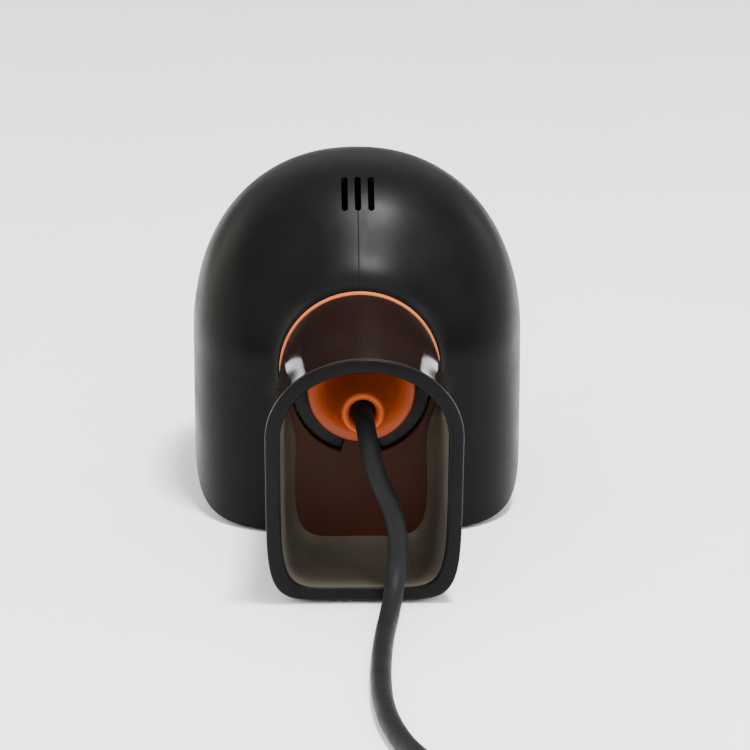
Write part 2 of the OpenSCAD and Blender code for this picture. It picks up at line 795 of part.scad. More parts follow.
rear_shell();
front_bezel();
scan_window();
window_seal();
status_lens();
mode_button();
button_switch();
button_board();
base_feet();
base_screws();
ballast_plate();
optics_carrier();
pattern_mirrors();
collector_mirror();
laser_holder();
laser_barrel();
laser_lens();
detector_board();
detector_lens();
motor_board();
motor_stator();
motor_bearing();
motor_shaft();
rotor_bell();
mirror_wheel();
main_board();
board_chips();
buzzer();
cable_socket();
cable_clamp();
inner_cable();
neck_core();
neck_screws();
friction_washer();
cable_outlet();
hood();
hood_plate();
hood_backing();
hood_pads();
cable();
cable_coil();
coil_tie();
cable_tail();
plug_boot();
plug_body();
plug_shell();
plug_tongue();
plug_contacts();
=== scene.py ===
"""Looks of the hands-free barcode scanner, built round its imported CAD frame."""

import json
import math

import bpy
from mathutils import Matrix, Vector


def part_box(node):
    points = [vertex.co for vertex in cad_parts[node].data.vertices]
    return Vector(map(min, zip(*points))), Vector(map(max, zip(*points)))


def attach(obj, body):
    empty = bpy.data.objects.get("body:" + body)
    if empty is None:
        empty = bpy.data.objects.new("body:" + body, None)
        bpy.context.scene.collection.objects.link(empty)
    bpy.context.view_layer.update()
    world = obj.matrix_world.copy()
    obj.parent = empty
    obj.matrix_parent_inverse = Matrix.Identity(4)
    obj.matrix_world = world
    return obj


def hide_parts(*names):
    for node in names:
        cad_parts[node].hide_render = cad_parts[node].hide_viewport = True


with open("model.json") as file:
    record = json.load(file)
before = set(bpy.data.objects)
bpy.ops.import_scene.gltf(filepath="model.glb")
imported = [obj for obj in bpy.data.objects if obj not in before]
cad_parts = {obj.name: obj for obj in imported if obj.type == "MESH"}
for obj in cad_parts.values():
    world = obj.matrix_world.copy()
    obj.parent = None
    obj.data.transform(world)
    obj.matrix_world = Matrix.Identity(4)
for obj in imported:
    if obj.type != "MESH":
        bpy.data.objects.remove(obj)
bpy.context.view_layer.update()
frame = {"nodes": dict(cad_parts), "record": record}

# ---------- sizes, in millimetres ----------

MM = 0.001


def box_mm(node):
    """Lowest and highest corner of a CAD node, in millimetres."""
    return [[v / MM for v in corner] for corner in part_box(node)]


(_, COLLAR_Y, FOOT), (HALF_W, SPLIT_Y, HEAD_TOP) = box_mm("rear_shell")
(_, TIP_Y, _), (_, HOOD_Y, _) = box_mm("hood")
(_, HUB_END_Y, _), (RING_R, SPIGOT_Y, _) = box_mm("neck_core")
(_, CONE_Y, _), (_, FLANGE_Y, _) = box_mm("cable_outlet")

NECK_Z = 45
TOP_R = HEAD_TOP - NECK_Z
BASE_R = NECK_Z - FOOT
SHELL_T = 2.2
WINDOW_TILT = 7
FACE_Y = 66.6
COLLAR_R = 20.4
RING_Y = HOOD_Y + 0.3
HOOD_R = 19.8
NECK_L = 11
HOOD_FLARE = 1.3
MOUTH_UP = HOOD_R + HOOD_FLARE
MOUTH_HALF_W = 23.4
MOUTH_SLOPE = 14 / (MOUTH_UP + BASE_R)
MOUTH_Y = TIP_Y + MOUTH_UP * MOUTH_SLOPE
HOOD_T = 3.6
HEEL_T = 1.7
HEEL = 0.11
WAIST_Y = 23
CROWN_Y = 28
FOOTPRINT_Y = -11.5
FOOT_SQUARE = 2.75
HEAD_SQUARE = 9
HEAD_ARCH = 2.15
NOSE_TOP = 13
NOSE_SIDE = 4
FILLET_SHARE = 0.3
CABLE_D = 4.8
COIL_Y = -208
COIL_COLUMNS = 5
COIL_R = 27

# ---------- curves and outlines ----------


def mix(a, b, t):
    return a + (b - a) * t


def ease(t):
    t = min(1, max(0, t))
    return t * t * (3 - 2 * t)


def sind(a):
    return math.sin(math.radians(a))


def cosd(a):
    return math.cos(math.radians(a))


def bezier(t, a, b, c, d):
    u = 1 - t
    return u**3 * a + 3 * u * u * t * b + 3 * u * t * t * c + t**3 * d


def outline_r(a, half, up, down, square, arch=2):
    """Radius at angle a of an outline that is round on top and squarer below."""
    n, tall = (arch, up) if sind(a) >= 0 else (square, down)
    return ((abs(cosd(a)) / half) ** n + (abs(sind(a)) / tall) ** n) ** (-1 / n)


def polar(a, y, r):
    return (r * cosd(a), y, NECK_Z + r * sind(a))


def smooth_table(table, steps):
    """Points of a smooth curve through a list of points of any width."""
    out = []
    for i in range(len(table) - 1):
        p0, p1 = table[max(i - 1, 0)], table[i]
        p2, p3 = table[i + 1], table[min(i + 2, len(table) - 1)]
        for k in range(steps):
            t = k / steps
            out.append([
                0.5 * (2 * b + (c - a) * t + (2 * a - 5 * b + 4 * c - d) * t * t
                       + (3 * b - a - 3 * c + d) * t**3)
                for a, b, c, d in zip(p0, p1, p2, p3)])
    out.append(list(table[-1]))
    return out


# Angles round a section, closer together at the lower corners
ANGLES = [
    mix(start, end, i / n)
    for start, end, n in ((0, 180, 120), (180, 222, 20), (222, 250, 36), (250, 290, 28),
                          (290, 318, 36), (318, 360, 20))
    for i in range(n)]

# ---------- meshes ----------


def add_object(name, mesh, body, material):
    obj = bpy.data.objects.new(name, mesh)
    bpy.context.scene.collection.objects.link(obj)
    mesh.materials.append(material)
    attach(obj, body)
    return obj


def sharpen(mesh, degrees):
    """Smooth shading, with the edges above this angle kept sharp."""
    mesh.polygons.foreach_set("use_smooth", [True] * len(mesh.polygons))
    mesh.set_sharp_from_angle(angle=math.radians(degrees))


def mesh_from(name, points, faces, degrees=40):
    mesh = bpy.data.meshes.new(name)
    mesh.from_pydata([[c * MM for c in p] for p in points], [], faces)
    mesh.validate()
    mesh.update()
    sharpen(mesh, degrees)
    return mesh


def loft_faces(rows, around, closed):
    """Quads between rows of points that go round; closed joins the last row to the first."""
    return [
        (i * around + j, i * around + (j + 1) % around,
         (i + 1) % rows * around + (j + 1) % around, (i + 1) % rows * around + j)
        for i in range(rows if closed else rows - 1) for j in range(around)]


def loft(name, rows, degrees=40):
    """A closed ring of sections, which makes a hollow moulding."""
    return mesh_from(name, [p for row in rows for p in row],
                     loft_faces(len(rows), len(rows[0]), True), degrees)


LATHE_STEPS = 160


def lathe(name, profile, degrees=32):
    """A closed (y, r) profile turned about the neck's axis."""
    rows = [[polar(360 * k / LATHE_STEPS, y, r) for k in range(LATHE_STEPS)] for y, r in profile]
    return loft(name, rows, degrees)


def cut(obj, cutter):
    """Takes the cutter mesh out of the object and keeps the result."""
    tool = bpy.data.objects.new("cutter", cutter)
    bpy.context.scene.collection.objects.link(tool)
    modifier = obj.modifiers.new("cut", "BOOLEAN")
    modifier.object = tool
    modifier.solver = "EXACT"
    bpy.context.view_layer.update()
    shaped = bpy.data.meshes.new_from_object(obj.evaluated_get(bpy.context.evaluated_depsgraph_get()))
    obj.modifiers.clear()
    obj.data = shaped
    bpy.data.objects.remove(tool)


# ---------- materials ----------


class Nodes:
    """A material's node tree, with short names for what the materials here use."""

    def __init__(self, name):
        self.material = bpy.data.materials.new(name)
        self.material.use_nodes = True
        self.tree = self.material.node_tree
        self.shader = self.tree.nodes["Principled BSDF"]
        self.place = self.new("ShaderNodeTexCoord").outputs["Object"]

    def new(self, kind, **settings):
        node = self.tree.nodes.new(kind)
        for key, value in settings.items():
            setattr(node, key, value)
        return node

    def link(self, source, target):
        self.tree.links.new(source, target)

    def stretched(self, factors):
        """The place in the object, stretched along each axis."""
        node = self.new("ShaderNodeVectorMath", operation="MULTIPLY")
        self.link(self.place, node.inputs[0])
        node.inputs[1].default_value = factors
        return node.outputs[0]

    def noise(self, size_mm, detail=3, rough=0.55, place=None):
        """Noise whose grains are about size_mm wide."""
        node = self.new("ShaderNodeTexNoise")
        self.link(place or self.place, node.inputs["Vector"])
        node.inputs["Scale"].default_value = 1 / (size_mm * MM)
        node.inputs["Detail"].default_value = detail
        node.inputs["Roughness"].default_value = rough
        return node.outputs["Fac"]

    def spread(self, value, low, high, start=0.3, end=0.7):
        """A value between start and end, as a number between low and high."""
        node = self.new("ShaderNodeMapRange")
        self.link(value, node.inputs["Value"])
        for key, number in (("From Min", start), ("From Max", end), ("To Min", low), ("To Max", high)):
            node.inputs[key].default_value = number
        return node.outputs["Result"]

    def between(self, value, first, second, start=0.3, end=0.7):
        """The colour between two colours."""
        node = self.new("ShaderNodeMix", data_type="RGBA")
        self.link(self.spread(value, 0, 1, start, end), node.inputs["Factor"])
        for socket, colour in (("A", first), ("B", second)):
            target = [s for s in node.inputs if s.name == socket and s.type == "RGBA"][0]
            if isinstance(colour, bpy.types.NodeSocket):
                self.link(colour, target)
            else:
                target.default_value = (*colour, 1)
        return [s for s in node.outputs if s.type == "RGBA"][0]

    def bump(self, *heights):
        """Heights as (value, depth in mm) laid over one another."""
        normal = None
        for value, depth_mm in heights:
            node = self.new("ShaderNodeBump")
            node.inputs["Distance"].default_value = depth_mm * MM
            self.link(value, node.inputs["Height"])
            if normal:
                self.link(normal, node.inputs["Normal"])
            normal = node.outputs["Normal"]
        self.link(normal, self.shader.inputs["Normal"])

    def parting_line(self):
        """A hairline ridge where the mould's halves met, on the middle plane."""
        across = self.new("ShaderNodeSeparateXYZ")
        self.link(self.place, across.inputs[0])
        off = self.new("ShaderNodeMath", operation="ABSOLUTE")
        self.link(across.outputs["X"], off.inputs[0])
        return self.spread(off.outputs[0], 1, 0, 0, 0.12 * MM)

    def colour(self, socket):
        self.link(socket, self.shader.inputs["Base Color"])

    def rough(self, socket):
        self.link(socket, self.shader.inputs["Roughness"])

    def set(self, **values):
        for key, value in values.items():
            self.shader.inputs[key.replace("_", " ")].default_value = value


def moulded(name, dark, light, rough, specular=0.5, grain_mm=0.35, grain_depth=0.02, mottle_mm=14,
            parting=False):
    """Textured injection-moulded plastic with slow changes of tone and polish."""
    n = Nodes(name)
    cloud = n.noise(mottle_mm, 4)
    grain = n.noise(grain_mm, 2)
    n.colour(n.between(cloud, dark, light))
    n.rough(n.spread(n.noise(mottle_mm * 0.6, 5), rough - 0.05, rough + 0.05))
    heights = [(grain, grain_depth), (cloud, grain_depth)]
    if parting:
        heights.append((n.parting_line(), 0.06))
    n.bump(*heights)
    n.set(Specular_IOR_Level=specular)
    return n.material


def clear_plastic(name, dark, light, rough, alpha, specular=0.5, mottle_mm=20):
    """Polished see-through plastic with faint flow marks."""
    n = Nodes(name)
    flow = n.noise(mottle_mm, 3, place=n.stretched((1, 0.4, 1)))
    n.colour(n.between(flow, dark, light))
    n.rough(n.spread(n.noise(6, 4), rough, rough + 0.03))
    n.bump((flow, 0.05))
    n.set(Alpha=alpha, Specular_IOR_Level=specular)
    return n.material


def metal(name, dark, light, rough, brush=(1, 1, 1), grain_mm=0.4, depth=0.006):
    """Metal with fine tool marks along the axis that brush stretches."""
    n = Nodes(name)
    marks = n.noise(grain_mm, 4, place=n.stretched(brush))
    n.colour(n.between(n.noise(7, 3), dark, light))
    n.rough(n.spread(marks, rough - 0.06, rough + 0.08))
    n.bump((marks, depth))
    n.set(Metallic=1)
    return n.material


def circuit_board():
    """Green solder mask over a pattern of tracks."""
    n = Nodes("board_green")
    tracks = n.new("ShaderNodeTexVoronoi", feature="DISTANCE_TO_EDGE", distance="MANHATTAN")
    n.link(n.place, tracks.inputs["Vector"])
    tracks.inputs["Scale"].default_value = 1 / (3.2 * MM)
    lines = n.spread(tracks.outputs["Distance"], 1, 0, 0.02, 0.09)
    tint = n.between(n.noise(9, 3), (0.006, 0.075, 0.03), (0.01, 0.10, 0.04))
    n.colour(n.between(lines, tint, (0.03, 0.2, 0.08), 0, 1))
    n.rough(n.spread(n.noise(1.5, 3), 0.28, 0.4))
    n.bump((lines, 0.03))
    return n.material


def winding():
    """Enamelled copper wire, turn beside turn."""
    n = Nodes("motor_copper")
    turns = n.new("ShaderNodeTexWave", bands_direction="Y")
    n.link(n.place, turns.inputs["Vector"])
    turns.inputs["Scale"].default_value = 1 / (3 * MM)
    n.colour(n.between(turns.outputs["Fac"], (0.25, 0.08, 0.02), (0.7, 0.3, 0.12)))
    n.rough(n.spread(n.noise(2, 3), 0.22, 0.36))
    n.bump((turns.outputs["Fac"], 0.05))
    n.set(Metallic=0.9)
    return n.material


def cord_skin():
    """Soft matt PVC with a faint lay of the strands beneath."""
    n = Nodes("cable_grey")
    cloud = n.noise(11, 4)
    n.colour(n.between(cloud, (0.005, 0.005, 0.0053), (0.008, 0.008, 0.0084)))
    n.rough(n.spread(n.noise(3, 4), 0.5, 0.64))
    n.bump((n.noise(0.5, 2), 0.02), (n.noise(2.6, 2), 0.05))
    n.set(Specular_IOR_Level=0.12, Sheen_Weight=0.01)
    return n.material


BLACK = ((0.0014, 0.0014, 0.0015), (0.0024, 0.0024, 0.0025), 0.36, 0.07)
REAR_BLACK = moulded("satin_black_rear", *BLACK, parting=True)
# Painted light: the inside of the hood is the same smoky plastic in a pale olive colour, which stands in for
# light shining through its walls.
HOOD_INSIDE_PAINTED_GLOW = clear_plastic("smoky_inside_painted_glow", (0.074, 0.068, 0.051), (0.088, 0.081, 0.061), 0.38, 1,
                            mottle_mm=40)
HOOD_LIP = moulded("smoky_lip", (0.002, 0.002, 0.0021), (0.0032, 0.0032, 0.0034), 0.34, 0.07,
                   grain_mm=0.5, grain_depth=0.01)
# Painted light: the ring is a paler, less saturated copy of the orange plastic, which stands in for the top
# light and sheen on it.
RING_ORANGE_PAINTED_SHEEN = moulded("orange_ring_painted_sheen", (0.38, 0.085, 0.02), (0.43, 0.1, 0.026), 0.45, 0.3)
MATERIALS = {
    "satin_black": moulded("satin_black", *BLACK),
    "smoky_plastic": clear_plastic("smoky_plastic", (0.007, 0.0028, 0.0018), (0.01, 0.004, 0.0026),
                                   0.1, 0.985, 0.14),
    "orange_plastic": moulded("orange_plastic", (0.42, 0.058, 0.005), (0.48, 0.074, 0.008), 0.38, 0.3),
    "smoky_plate": clear_plastic("smoky_plate", (0.036, 0.0105, 0.0045), (0.05, 0.0145, 0.0065),
                                 0.4, 0.99, 0.1),
    "window_glass": clear_plastic("window_glass", (0.042, 0.0015, 0.0015), (0.058, 0.002, 0.002),
                                  0.03, 0.68, 0.2),
    "clear_lens": clear_plastic("clear_lens", (0.6, 0.66, 0.68), (0.75, 0.8, 0.82), 0.08, 0.45),
    "black_rubber": moulded("black_rubber", (0.012, 0.012, 0.012), (0.02, 0.02, 0.019), 0.72, 0.3, 0.3, 0.03),
    "cable_grey": cord_skin(),
    "dark_plastic": moulded("dark_plastic", (0.018, 0.018, 0.02), (0.028, 0.028, 0.03), 0.5),
    "pale_plastic": moulded("pale_plastic", (0.62, 0.58, 0.48), (0.72, 0.68, 0.58), 0.45),
    "board_green": circuit_board(),
    "bright_steel": metal("bright_steel", (0.5, 0.5, 0.51), (0.66, 0.66, 0.67), 0.24, (1, 6, 1)),
    "mirror_face": metal("mirror_face", (0.84, 0.86, 0.88), (0.92, 0.93, 0.94), 0.08,
                         grain_mm=3, depth=0.0005),
    "brass_metal": metal("brass_metal", (0.62, 0.42, 0.16), (0.76, 0.54, 0.24), 0.26, (1, 1, 5)),
    "motor_copper": winding(),
}


def piece(name, mesh, slot, *nodes, body="root"):
    """A detailed piece that stands for CAD nodes and takes its finish from a slot."""
    obj = add_object(name, mesh, body, MATERIALS[slot])
    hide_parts(*nodes)
    return obj


# ---------- camera ----------

CAMERA_AIM = Vector((0, -12.3, 42)) * MM
CAMERA_FAR = 760 * MM
CAMERA_RISE = 18
CAMERA_TURN = -1.2
CAMERA_SHIFT = (0.0204, 0.0065)
FOCAL_MM = 145.9


def add_camera():
    camera = bpy.data.cameras.new("camera")
    camera.lens = FOCAL_MM
    camera.sensor_width = 36
    camera.shift_x, camera.shift_y = CAMERA_SHIFT
    camera.clip_start = 0.01
    obj = bpy.data.objects.new("camera", camera)
    bpy.context.scene.collection.objects.link(obj)
    back = Vector((sind(CAMERA_TURN) * cosd(CAMERA_RISE), -cosd(CAMERA_TURN) * cosd(CAMERA_RISE),
                   sind(CAMERA_RISE)))
    obj.location = CAMERA_AIM + back * CAMERA_FAR
    obj.rotation_euler = (-back).to_track_quat("-Z", "Y").to_euler()
    bpy.context.scene.camera = obj


add_camera()

# ---------- lead ----------

CABLE_R = CABLE_D / 2
CABLE_START_Y = FLANGE_Y - 3
ROUTE = [
    (0, CABLE_START_Y, NECK_Z), (0, -38, NECK_Z), (0, -44, NECK_Z), (0, -48.5, NECK_Z),
    (0.5, -53.4, 43.8), (1.3, -57, 40.2), (2.4, -58.4, 35.4), (4, -58.9, 31), (5.8, -59.1, 27),
    (7.2, -59.2, 23), (7.9, -59.3, 19), (8.1, -59.6, 15), (7.8, -60.8, 10.8), (7.2, -63.6, 7.2),
    (6.5, -67.8, 4.8), (5.6, -73, 3.2), (4.7, -79, 2.5), (3.9, -87, CABLE_R), (3.2, -97, CABLE_R),
    (2.8, -108, CABLE_R), (3, -120, CABLE_R), (4.4, -132, CABLE_R), (7.6, -144, CABLE_R),
    (13, -155.5, CABLE_R), (19.6, -166, CABLE_R), (26, -176.5, CABLE_R), (31.6, -187, CABLE_R),
    (35.4, -197.6, CABLE_R)]
# The end of the lead lies on top of the coil: angle, radius, height
TAIL_TURN = [
    (197, 36.6, 7.3), (185, 36.2, 8.2), (173, 35, 9.8), (158, 33.2, 11.4), (142, 31.2, 12),
    (124, 29.4, 12), (106, 28.2, 12), (88, 27.6, 12), (70, 27.2, 12), (52, 27, 12), (34, 27, 12),
    (16, 27.2, 12), (0, 27.8, 12.1), (-15, 28.8, 12.5), (-29, 30, 13), (-42, 31.2, 13.4),
    (-53, 31.8, 13.6)]
PLUG_X = 12
PLUG_Y = COIL_Y - 27.4
PLUG_Z = 13.7
COIL_OUT = COIL_R + CABLE_D * (COIL_COLUMNS - 1) / 2
COIL_IN = COIL_R - CABLE_D * (COIL_COLUMNS - 1) / 2
# Five turns on the floor and most of five more on top of them
WINDING_TURNS = 9.42
STEPS_A_TURN = 48


def coil_point(turn):
    """Place of the lead after this many turns: five inwards on the floor, then out again on top."""
    whole = int(turn + 1e-9)
    part = turn - whole
    if turn < COIL_COLUMNS:
        last = whole == COIL_COLUMNS - 1
        radius = COIL_OUT - CABLE_D * (whole + (0 if last else ease((part - 0.85) / 0.15)))
        height = CABLE_R + (CABLE_D * ease((part - 0.72) / 0.2) if last else 0)
    else:
        radius = COIL_IN + CABLE_D * (whole - COIL_COLUMNS + ease((part - 0.5) / 0.2))
        height = CABLE_R + CABLE_D
    return on_coil(-360 * turn, radius, height)


def on_coil(angle, radius, height):
    return (radius * cosd(angle), COIL_Y + radius * sind(angle), height)


def lead_points():
    """The whole lead: the listed route, the coil's turns, and the tail into the plug."""
    start = [list(p) for p in ROUTE]
    coil = [list(coil_point(k / STEPS_A_TURN)) for k in range(int(WINDING_TURNS * STEPS_A_TURN) + 1)]
    tail = [list(on_coil(*p)) for p in TAIL_TURN]
    tail += [[PLUG_X + 4, PLUG_Y + 0.2, PLUG_Z], [PLUG_X + 2.2, PLUG_Y, PLUG_Z],
             [PLUG_X - 2, PLUG_Y, PLUG_Z]]
    return smooth_table(start + coil[:1], 5)[:-1] + coil + smooth_table([coil[-1]] + tail, 4)[1:]


def add_lead(points):
    """The lead as one round curve through its points."""
    curve = bpy.data.curves.new("lead", "CURVE")
    curve.dimensions = "3D"
    curve.bevel_depth = CABLE_R * MM
    curve.bevel_resolution = 5
    curve.use_fill_caps = True
    spline = curve.splines.new("POLY")
    spline.points.add(len(points) - 1)
    for target, p in zip(spline.points, points):
        target.co = (*[c * MM for c in p], 1)
    spline.use_smooth = True
    curve.materials.append(MATERIALS["cable_grey"])
    obj = bpy.data.objects.new("lead", curve)
    bpy.context.scene.collection.objects.link(obj)
    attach(obj, "root")
    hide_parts("cable", "cable_coil", "cable_tail")
    return obj


points = lead_points()
lead = add_lead(points)

# ---------- plug and tie ----------

BOOT_L = 9
BOOT_R = 3.9
BOOT_RIBS = 4
BOOT_RIB_DEPTH = 0.35
PLUG_L = 24
PLUG_W = 15
PLUG_H = 8.2
PLUG_CORNER = 2.2
GRIP_START = 4.5
GRIP_L = 11
GRIP_RIBS = 6
GRIP_DEPTH = 0.35


def rib_wave(share, ribs):
    """0 between ribs and 1 on them, along a share of the ribbed length."""
    return 0.5 - 0.5 * math.cos(2 * math.pi * ribs * share)


def plug_section(distance, width, height, corner, per_corner=10):
    """A rounded rectangle across the plug, at a distance from the boot's start."""
    row = []
    for k in range(4):
        cx = (width / 2 - corner) * (1 if k in (0, 3) else -1)
        cz = (height / 2 - corner) * (1 if k in (0, 1) else -1)
        for i in range(per_corner):
            a = 90 * k + 90 * i / (per_corner - 1)
            row.append((PLUG_X - distance, PLUG_Y + cx + corner * cosd(a), PLUG_Z + cz + corner * sind(a)))
    return row


def capped(name, rows, degrees=35):
    """A loft along rows with both ends closed."""
    around = len(rows[0])
    faces = loft_faces(len(rows), around, False)
    faces += [tuple(reversed(range(around))), tuple((len(rows) - 1) * around + j for j in range(around))]
    return mesh_from(name, [p for row in rows for p in row], faces, degrees)


def boot_mesh():
    """Tapered strain relief with ribs round it."""
    rows = []
    for k in range(61):
        s = k / 60
        rib = rib_wave(s, BOOT_RIBS)
        r = mix(CABLE_R + BOOT_RIB_DEPTH, BOOT_R, s ** 1.2) - BOOT_RIB_DEPTH * rib * (1 - s)
        rows.append(plug_section(BOOT_L * s, 2 * r, 2 * r, r * 0.999))
    return capped("plug_boot_ribbed", rows)


def body_mesh():
    """Overmoulding with softened edges and a recessed grip."""
    rows = []
    for s, shrink, corner in ((0, 2.4, 1.2), (0.3, 1.2, 1.6), (0.9, 0.5, 2), (2, 0.1, PLUG_CORNER),
                              (3.2, 0, PLUG_CORNER)):
        rows.append(plug_section(BOOT_L + s, PLUG_W - shrink, PLUG_H - shrink, corner))
    for k in range(41):
        s = k / 40
        dip = GRIP_DEPTH * rib_wave(s, GRIP_RIBS)
        rows.append(plug_section(BOOT_L + GRIP_START + GRIP_L * s, PLUG_W - 2 * dip, PLUG_H - 0.8 * dip,
                                 PLUG_CORNER))
    for s, shrink, corner in ((PLUG_L - 2, 0, PLUG_CORNER), (PLUG_L - 0.8, 0.2, 2),
                              (PLUG_L - 0.2, 0.8, 1.7), (PLUG_L, 1.5, 1.4)):
        rows.append(plug_section(BOOT_L + s, PLUG_W - shrink, PLUG_H - shrink, corner))
    return capped("plug_body_grip", rows)


TIE_ANGLE = 205
TIE_WIDE = 8
TIE_THICK = 0.8
TIE_SLACK = 0.6
TIE_GAP = 0.1
TIE_FOOT = 0.15


def tie_mesh():
    """A strap over the coil's section, with rounded corners."""
    inner = [(COIL_IN - CABLE_R - TIE_SLACK, TIE_FOOT)]
    inner += [(COIL_IN + CABLE_R * cosd(a) - TIE_SLACK, 2 * CABLE_D - CABLE_R + CABLE_R * sind(a))
              for a in range(180, 89, -10)]
    inner += [(COIL_OUT + CABLE_R * cosd(a) + TIE_GAP, 2 * CABLE_D - CABLE_R + CABLE_R * sind(a))
              for a in range(90, -1, -10)]
    inner += [(COIL_OUT + CABLE_R + TIE_GAP, TIE_FOOT)]
    middle = Vector((COIL_R, CABLE_D))
    outer = []
    for k, (r, z) in enumerate(inner):
        side = Vector((r, z)) - middle
        if k in (0, len(inner) - 1):
            side.y = 0
        outer.append(Vector((r, z)) + side.normalized() * TIE_THICK)
    rows = []
    for across, lift in ((-TIE_WIDE / 2, 0.3), (-TIE_WIDE / 2 + 0.4, 0), (TIE_WIDE / 2 - 0.4, 0),
                         (TIE_WIDE / 2, 0.3)):
        ring = [(r, z) for r, z in inner] + [tuple(Vector(o).lerp(Vector(i), lift))
                                             for o, i in zip(reversed(outer), reversed(inner))]
        rows.append([(r * cosd(TIE_ANGLE) - across * sind(TIE_ANGLE),
                      COIL_Y + r * sind(TIE_ANGLE) + across * cosd(TIE_ANGLE), z) for r, z in ring])
    return capped("coil_strap", rows)


boot = piece("plug_boot_ribbed", boot_mesh(), "cable_grey", "plug_boot")
plug = piece("plug_body_grip", body_mesh(), "cable_grey", "plug_body")
strap = piece("coil_strap", tie_mesh(), "black_rubber", "coil_tie")

# ---------- head ----------


def head_r(a):
    return outline_r(a, HALF_W, TOP_R, BASE_R, HEAD_SQUARE, HEAD_ARCH)


def crown_share(a):
    return ease(max(0, sind(a)))


def foot_y(x):
    reach = max(0, 1 - min(1, x / HALF_W) ** FOOT_SQUARE)
    return WAIST_Y - (WAIST_Y - FOOTPRINT_Y) * reach ** (1 / FOOT_SQUARE)


def full_y(a):
    """Where the back of the head reaches full size, for each angle about the neck."""
    if sind(a) >= 0:
        return mix(WAIST_Y, CROWN_Y, crown_share(a))
    if sind(a) >= -0.5:
        return WAIST_Y
    return foot_y(min(HALF_W, BASE_R * abs(cosd(a) / sind(a))))


def nose_r(a, y):
    """Radius of the head in front of its widest section, where it draws in towards the face."""
    start = full_y(a)
    q = max(0, (y - start) / (FACE_Y - start))
    fade = ease((sind(a) + 0.75) / 0.5)
    return head_r(a) - mix(NOSE_SIDE, NOSE_TOP, crown_share(a)) * fade * q * q


def dome_y(a, t):
    rise = crown_share(a)
    end = full_y(a) if sind(a) >= 0 else WAIST_Y
    span = end - COLLAR_Y
    first = COLLAR_Y + span * mix(0.16, 0.34, rise)
    second = COLLAR_Y + span * mix(0.04, 0.40, rise)
    return bezier(t, COLLAR_Y, first, second, end)


def back_yr(a, t):
    """The upper half is domed, and the lower half stands upright over its footprint."""
    r = mix(COLLAR_R, head_r(a), ease(t))
    wall = mix(COLLAR_Y, foot_y(r * abs(cosd(a))), ease(t / FILLET_SHARE))
    return mix(dome_y(a, t), wall, ease(-sind(a) / 0.3)), r


def inner_yr(a, t, depth):
    """The back's curve moved inwards along its own normal."""
    y, r = back_yr(a, t)
    y0, r0 = back_yr(a, max(0, t - 0.01))
    y1, r1 = back_yr(a, min(1, t + 0.01))
    n = math.hypot(y1 - y0, r1 - r0)
    return y + depth * (r1 - r0) / n, r - depth * (y1 - y0) / n


BACK_STEPS = 48
SEAM = 0.25


def rear_shell_mesh():
    outer = [[polar(a, *back_yr(a, k / BACK_STEPS)) for a in ANGLES] for k in range(BACK_STEPS + 1)]
    for y, inset in ((29, 0), (31, 0), (33, 0), (35, 0), (37, 0), (SPLIT_Y - SEAM, 0), (SPLIT_Y, SEAM),
                     (SPLIT_Y, SHELL_T), (34, SHELL_T)):
        outer.append([polar(a, y, nose_r(a, y) - inset) for a in ANGLES])
    inner = [[polar(a, *inner_yr(a, k / 20, SHELL_T)) for a in ANGLES] for k in range(20, -1, -1)]
    return loft("head_rear", outer + inner)


VENT_W = 1.6
VENT_L = 10.6
VENT_PITCH = 3.35
VENT_PLACE = Vector((0, 11.6, 83.2))
VENT_SLOPE = 47
VENT_CUT = (-8, 6)


def vents_mesh():
    """Three upright slots with round ends, as one cutter."""
    turn = Matrix.Rotation(math.radians(VENT_SLOPE), 3, "X")
    points, faces = [], []
    for k in (-1, 0, 1):
        outline = []
        for end in (1, -1):
            for i in range(17):
                a = (0 if end > 0 else 180) + 180 * i / 16
                outline.append((k * VENT_PITCH + VENT_W / 2 * cosd(a),
                                end * (VENT_L - VENT_W) / 2 + VENT_W / 2 * sind(a)))
        base = len(points)
        for depth in VENT_CUT:
            points += [VENT_PLACE + turn @ Vector((x, y, depth)) for x, y in outline]
        m = len(outline)
        faces += [(base + j, base + (j + 1) % m, base + m + (j + 1) % m, base + m + j) for j in range(m)]
        faces += [tuple(base + j for j in reversed(range(m))), tuple(base + m + j for j in range(m))]
    return mesh_from("vents", points, faces)


rear = piece("head_rear", rear_shell_mesh(), "satin_black", "rear_shell")
cut(rear, vents_mesh())
sharpen(rear.data, 40)
rear.data.materials[0] = REAR_BLACK

WINDOW = dict(half=31, up=25, down=31, square=5)
BEZEL_DEPTH = FACE_Y - SPLIT_Y
# Front moulding's section: share of the way from outline to window, depth, lean, inset
BEZEL_OUTER = [
    (0, -BEZEL_DEPTH + SEAM, 0, 0), (0, -20, 0.2, 0.1), (0, -14, 0.5, 0.5), (0, -9.5, 0.8, 1.3),
    (0, -6, 1, 2.2), (0, -3.2, 1, 3.6), (0, -1.3, 1, 5.2), (0.3, -0.3, 1, 4.4), (0.75, -0.1, 1, 1.4),
    (1, -0.9, 1, 0)]
BEZEL_INNER = [
    (1, -4.8, 1, 0), (0.5, -5.6, 1, 3.6), (0, -8, 1, 5.4), (0, -12, 0.6, 3), (0, -17, 0.3, 2.2),
    (0, -BEZEL_DEPTH, 0, SHELL_T)]


def face_point(a, r, depth, lean):
    """A point at angle a and radius r on the face, which leans back by its share of the window's tilt."""
    v = r * sind(a)
    tilt = WINDOW_TILT * lean
    return (r * cosd(a), FACE_Y - v * sind(tilt) + depth * cosd(tilt),
            max(FOOT, NECK_Z + v * cosd(tilt) + depth * sind(tilt)))


def bezel_row(share, depth, lean, inset):
    return [face_point(a, mix(nose_r(a, FACE_Y + depth), outline_r(a, **WINDOW), share) - inset, depth, lean)
            for a in ANGLES]


def front_bezel_mesh():
    rows = [bezel_row(0, -BEZEL_DEPTH, 0, SEAM)]
    rows += [bezel_row(*p) for p in smooth_table(BEZEL_OUTER, 6)]
    rows += [bezel_row(*p) for p in BEZEL_INNER]
    return loft("head_front", rows)


